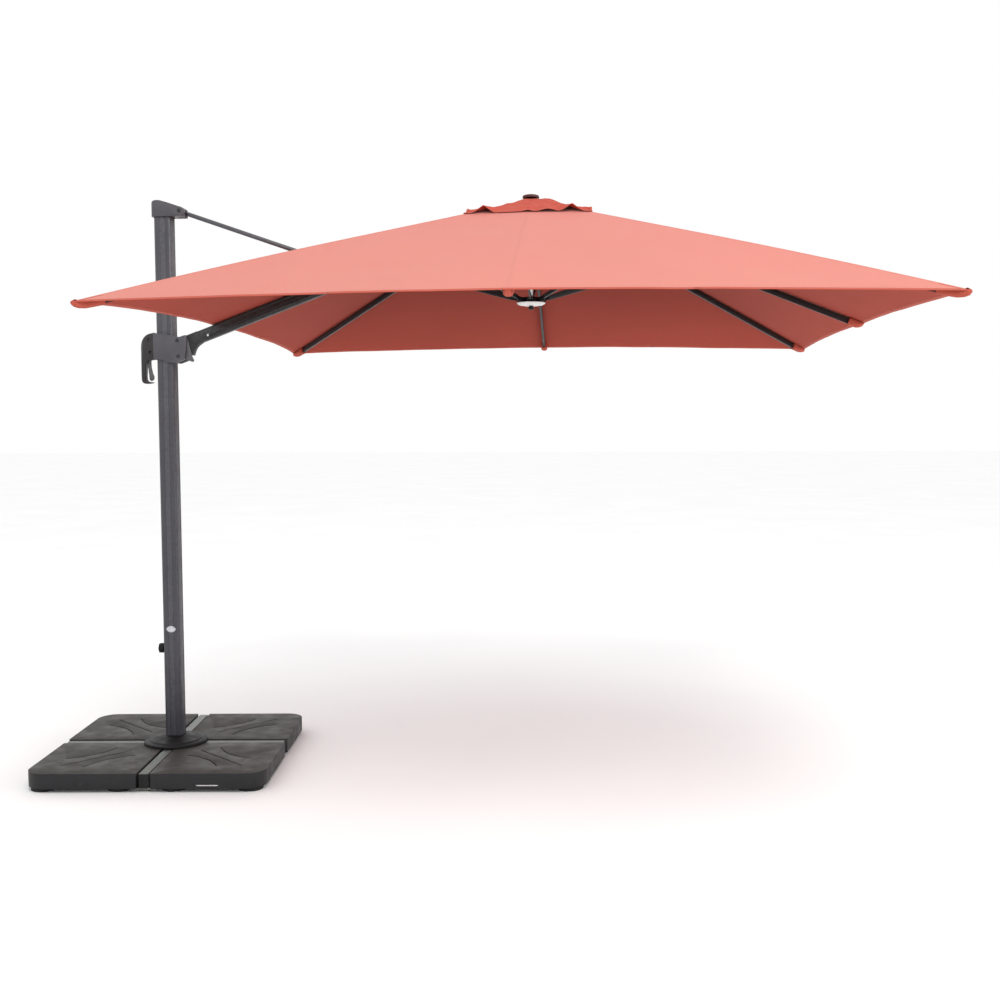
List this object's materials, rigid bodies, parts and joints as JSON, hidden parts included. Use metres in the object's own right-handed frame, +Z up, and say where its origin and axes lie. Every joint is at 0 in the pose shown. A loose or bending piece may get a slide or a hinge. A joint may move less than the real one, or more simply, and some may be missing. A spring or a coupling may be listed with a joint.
{
  "type": "cantilever parasol",
  "caption": "Side-mast garden parasol with a ballasted cross base, a folding boom and stay, and a square ribbed fabric canopy with a vent cap.",
  "frame": {"origin": "on the mast axis at floor height, in the plane of the base's feet", "axes": "+Z up along the mast, +X along the open boom towards the canopy, -Y towards the front"},
  "size_m": [3.7825, 3, 2.653],
  "materials": {
    "galvanised": "dull zinc coat",
    "anthracite": "fine anthracite powder coat",
    "black_steel": "satin black powder coat",
    "black_plastic": "fine moulded grain",
    "grey_plastic": "fine moulded grain",
    "white_plastic": "moulded satin",
    "slab": "grained slab shell",
    "feet": "matt rubber",
    "bright": "satin aluminium",
    "cloth": "woven canopy cloth"
  },
  "bodies": {
    "base": {"base_cross": "galvanised", "base_stub": "galvanised", "slab_front_left": "slab", "slab_front_right": "slab", "slab_back_left": "slab", "slab_back_right": "slab", "slab_feet": "feet", "base_bolts": "bright", "arm_plugs": "black_plastic", "rosette": "black_plastic"},
    "mast": {"mast_tube": "anthracite", "mast_bushings": "black_plastic", "mast_head": "black_plastic", "badge": "bright"},
    "lock_knob": {"lock_knob": "black_plastic"},
    "stay": {"stay_tube": "anthracite", "stay_fittings": "black_steel", "stay_pins": "bright"},
    "boom": {"boom_tube": "anthracite", "boom_root": "anthracite", "boom_yoke": "anthracite", "boom_rivets": "bright", "canopy_left": "cloth"},
    "carriage": {"carriage_sleeve": "black_plastic", "grip": "black_plastic", "carriage_screws": "bright", "pivot_pin": "bright"},
    "release_lever": {"release_lever": "grey_plastic"},
    "latch_pin": {"latch_pin": "bright"},
    "tilt_lever": {"tilt_lever": "grey_plastic"},
    "hub": {"hub": "black_plastic", "hub_pins": "bright", "hub_post": "bright", "crown_button": "black_plastic"},
    "rib_right": {"rib_right": "black_steel", "canopy_right": "cloth"},
    "strut_right": {"strut_right": "black_steel"},
    "rib_back_right": {"rib_back_right": "black_steel", "canopy_back_right": "cloth"},
    "strut_back_right": {"strut_back_right": "black_steel"},
    "rib_back": {"rib_back": "black_steel", "canopy_back": "cloth"},
    "strut_back": {"strut_back": "black_steel"},
    "rib_back_left": {"rib_back_left": "black_steel", "canopy_back_left": "cloth"},
    "strut_back_left": {"strut_back_left": "black_steel"},
    "strut_left": {"strut_left": "black_steel"},
    "rib_front_left": {"rib_front_left": "black_steel", "canopy_front_left": "cloth"},
    "strut_front_left": {"strut_front_left": "black_steel"},
    "rib_front": {"rib_front": "black_steel", "canopy_front": "cloth"},
    "strut_front": {"strut_front": "black_steel"},
    "rib_front_right": {"rib_front_right": "black_steel", "canopy_front_right": "cloth"},
    "strut_front_right": {"strut_front_right": "black_steel"},
    "runner": {"runner": "black_plastic", "runner_pins": "bright", "runner_dish": "white_plastic", "runner_knob": "black_plastic"}
  },
  "joints": [
    {"name": "mast_swivel", "type": "hinge", "parent": "base", "child": "mast", "pos_m": [0, 0, 0], "axis": [0, 0, 1], "continuous": true},
    {"name": "lock_knob_turn", "type": "hinge", "parent": "mast", "child": "lock_knob", "pos_m": [-0.041, 0, 0.54], "axis": [1, 0, 0], "range_deg": [-170, 170]},
    {"name": "stay_hinge", "type": "hinge", "parent": "mast", "child": "stay", "pos_m": [0.085, 0, 2.602], "axis": [0, 1, 0], "range_deg": [0, 61.5]},
    {"name": "boom_fold", "type": "hinge", "parent": "stay", "child": "boom", "pos_m": [0.935, 0, 2.306], "axis": [0, -1, 0], "range_deg": [0, 123], "deforming": ["canopy_left"]},
    {"name": "carriage_hinge", "type": "hinge", "parent": "boom", "child": "carriage", "pos_m": [0.085, 0, 2.01], "axis": [0, 1, 0], "range_deg": [0, 61.5]},
    {"name": "hub_hinge", "type": "hinge", "parent": "boom", "child": "hub", "pos_m": [1.66, 0, 2.52], "axis": [0, 1, 0], "range_deg": [0, 61.5]},
    {"name": "rib_right_hinge", "type": "hinge", "parent": "hub", "child": "rib_right", "pos_m": [1.78, 0, 2.52], "axis": [0, 1, 0], "range_deg": [0, 61.5], "deforming": ["canopy_right"]},
    {"name": "strut_right_hinge", "type": "hinge", "parent": "rib_right", "child": "strut_right", "pos_m": [2.42405, 0, 2.3475], "axis": [0, -1, 0], "range_deg": [0, 123]},
    {"name": "rib_back_right_hinge", "type": "hinge", "parent": "hub", "child": "rib_back_right", "pos_m": [1.76243, 0.04243, 2.52], "axis": [-0.7071, 0.7071, 0], "range_deg": [0, 65.29], "deforming": ["canopy_back_right"]},
    {"name": "strut_back_right_hinge", "type": "hinge", "parent": "rib_back_right", "child": "strut_back_right", "pos_m": [2.21568, 0.49568, 2.38698], "axis": [0.7071, -0.7071, 0], "range_deg": [0, 124.62]},
    {"name": "rib_back_hinge", "type": "hinge", "parent": "hub", "child": "rib_back", "pos_m": [1.72, 0.06, 2.52], "axis": [-1, 0, 0], "range_deg": [0, 61.5], "deforming": ["canopy_back"]},
    {"name": "strut_back_hinge", "type": "hinge", "parent": "rib_back", "child": "strut_back", "pos_m": [1.72, 0.70405, 2.3475], "axis": [1, 0, 0], "range_deg": [0, 123]},
    {"name": "rib_back_left_hinge", "type": "hinge", "parent": "hub", "child": "rib_back_left", "pos_m": [1.67757, 0.04243, 2.52], "axis": [-0.7071, -0.7071, 0], "range_deg": [0, 65.29], "deforming": ["canopy_back_left"]},
    {"name": "strut_back_left_hinge", "type": "hinge", "parent": "rib_back_left", "child": "strut_back_left", "pos_m": [1.22432, 0.49568, 2.38698], "axis": [0.7071, 0.7071, 0], "range_deg": [0, 124.62]},
    {"name": "strut_left_hinge", "type": "hinge", "parent": "boom", "child": "strut_left", "pos_m": [1.01595, 0, 2.3475], "axis": [0, 1, 0], "range_deg": [0, 123]},
    {"name": "rib_front_left_hinge", "type": "hinge", "parent": "hub", "child": "rib_front_left", "pos_m": [1.67757, -0.04243, 2.52], "axis": [0.7071, -0.7071, 0], "range_deg": [0, 65.29], "deforming": ["canopy_front_left"]},
    {"name": "strut_front_left_hinge", "type": "hinge", "parent": "rib_front_left", "child": "strut_front_left", "pos_m": [1.22432, -0.49568, 2.38698], "axis": [-0.7071, 0.7071, 0], "range_deg": [0, 124.62]},
    {"name": "rib_front_hinge", "type": "hinge", "parent": "hub", "child": "rib_front", "pos_m": [1.72, -0.06, 2.52], "axis": [1, 0, 0], "range_deg": [0, 61.5], "deforming": ["canopy_front"]},
    {"name": "strut_front_hinge", "type": "hinge", "parent": "rib_front", "child": "strut_front", "pos_m": [1.72, -0.70405, 2.3475], "axis": [-1, 0, 0], "range_deg": [0, 123]},
    {"name": "rib_front_right_hinge", "type": "hinge", "parent": "hub", "child": "rib_front_right", "pos_m": [1.76243, -0.04243, 2.52], "axis": [0.7071, 0.7071, 0], "range_deg": [0, 65.29], "deforming": ["canopy_front_right"]},
    {"name": "strut_front_right_hinge", "type": "hinge", "parent": "rib_front_right", "child": "strut_front_right", "pos_m": [2.21568, -0.49568, 2.38698], "axis": [-0.7071, -0.7071, 0], "range_deg": [0, 124.62]},
    {"name": "runner_hinge", "type": "hinge", "parent": "strut_right", "child": "runner", "pos_m": [1.78, 0, 2.175], "axis": [0, 1, 0], "range_deg": [0, 61.5]},
    {"name": "release_lever_hinge", "type": "hinge", "parent": "carriage", "child": "release_lever", "pos_m": [-0.08, 0, 1.955], "axis": [0, 1, 0], "range_deg": [0, 5], "stiffness_Nm_per_rad": 4, "springref_deg": -2.86},
    {"name": "latch_slide", "type": "slide", "parent": "carriage", "child": "latch_pin", "axis": [-1, 0, 0], "range_m": [0, 0.0024]},
    {"name": "tilt_lever_hinge", "type": "hinge", "parent": "carriage", "child": "tilt_lever", "pos_m": [0.085, 0, 2.01], "axis": [0, 1, 0], "range_deg": [-30, 8]}
  ],
  "couplings": [
    {"joint": "stay_hinge", "follows": "boom_fold", "ratio": 0.5},
    {"joint": "carriage_hinge", "follows": "boom_fold", "ratio": 0.5},
    {"joint": "hub_hinge", "follows": "boom_fold", "ratio": 0.5},
    {"joint": "rib_right_hinge", "follows": "boom_fold", "ratio": 0.5},
    {"joint": "strut_right_hinge", "follows": "boom_fold", "ratio": 1},
    {"joint": "rib_back_right_hinge", "follows": "boom_fold", "ratio": 0.53077},
    {"joint": "strut_back_right_hinge", "follows": "boom_fold", "ratio": 1.0132},
    {"joint": "rib_back_hinge", "follows": "boom_fold", "ratio": 0.5},
    {"joint": "strut_back_hinge", "follows": "boom_fold", "ratio": 1},
    {"joint": "rib_back_left_hinge", "follows": "boom_fold", "ratio": 0.53077},
    {"joint": "strut_back_left_hinge", "follows": "boom_fold", "ratio": 1.0132},
    {"joint": "strut_left_hinge", "follows": "boom_fold", "ratio": 1},
    {"joint": "rib_front_left_hinge", "follows": "boom_fold", "ratio": 0.53077},
    {"joint": "strut_front_left_hinge", "follows": "boom_fold", "ratio": 1.0132},
    {"joint": "rib_front_hinge", "follows": "boom_fold", "ratio": 0.5},
    {"joint": "strut_front_hinge", "follows": "boom_fold", "ratio": 1},
    {"joint": "rib_front_right_hinge", "follows": "boom_fold", "ratio": 0.53077},
    {"joint": "strut_front_right_hinge", "follows": "boom_fold", "ratio": 1.0132},
    {"joint": "runner_hinge", "follows": "boom_fold", "ratio": 0.5},
    {"joint": "latch_slide", "follows": "release_lever_hinge", "m_per_rad": 0.025}
  ]
}
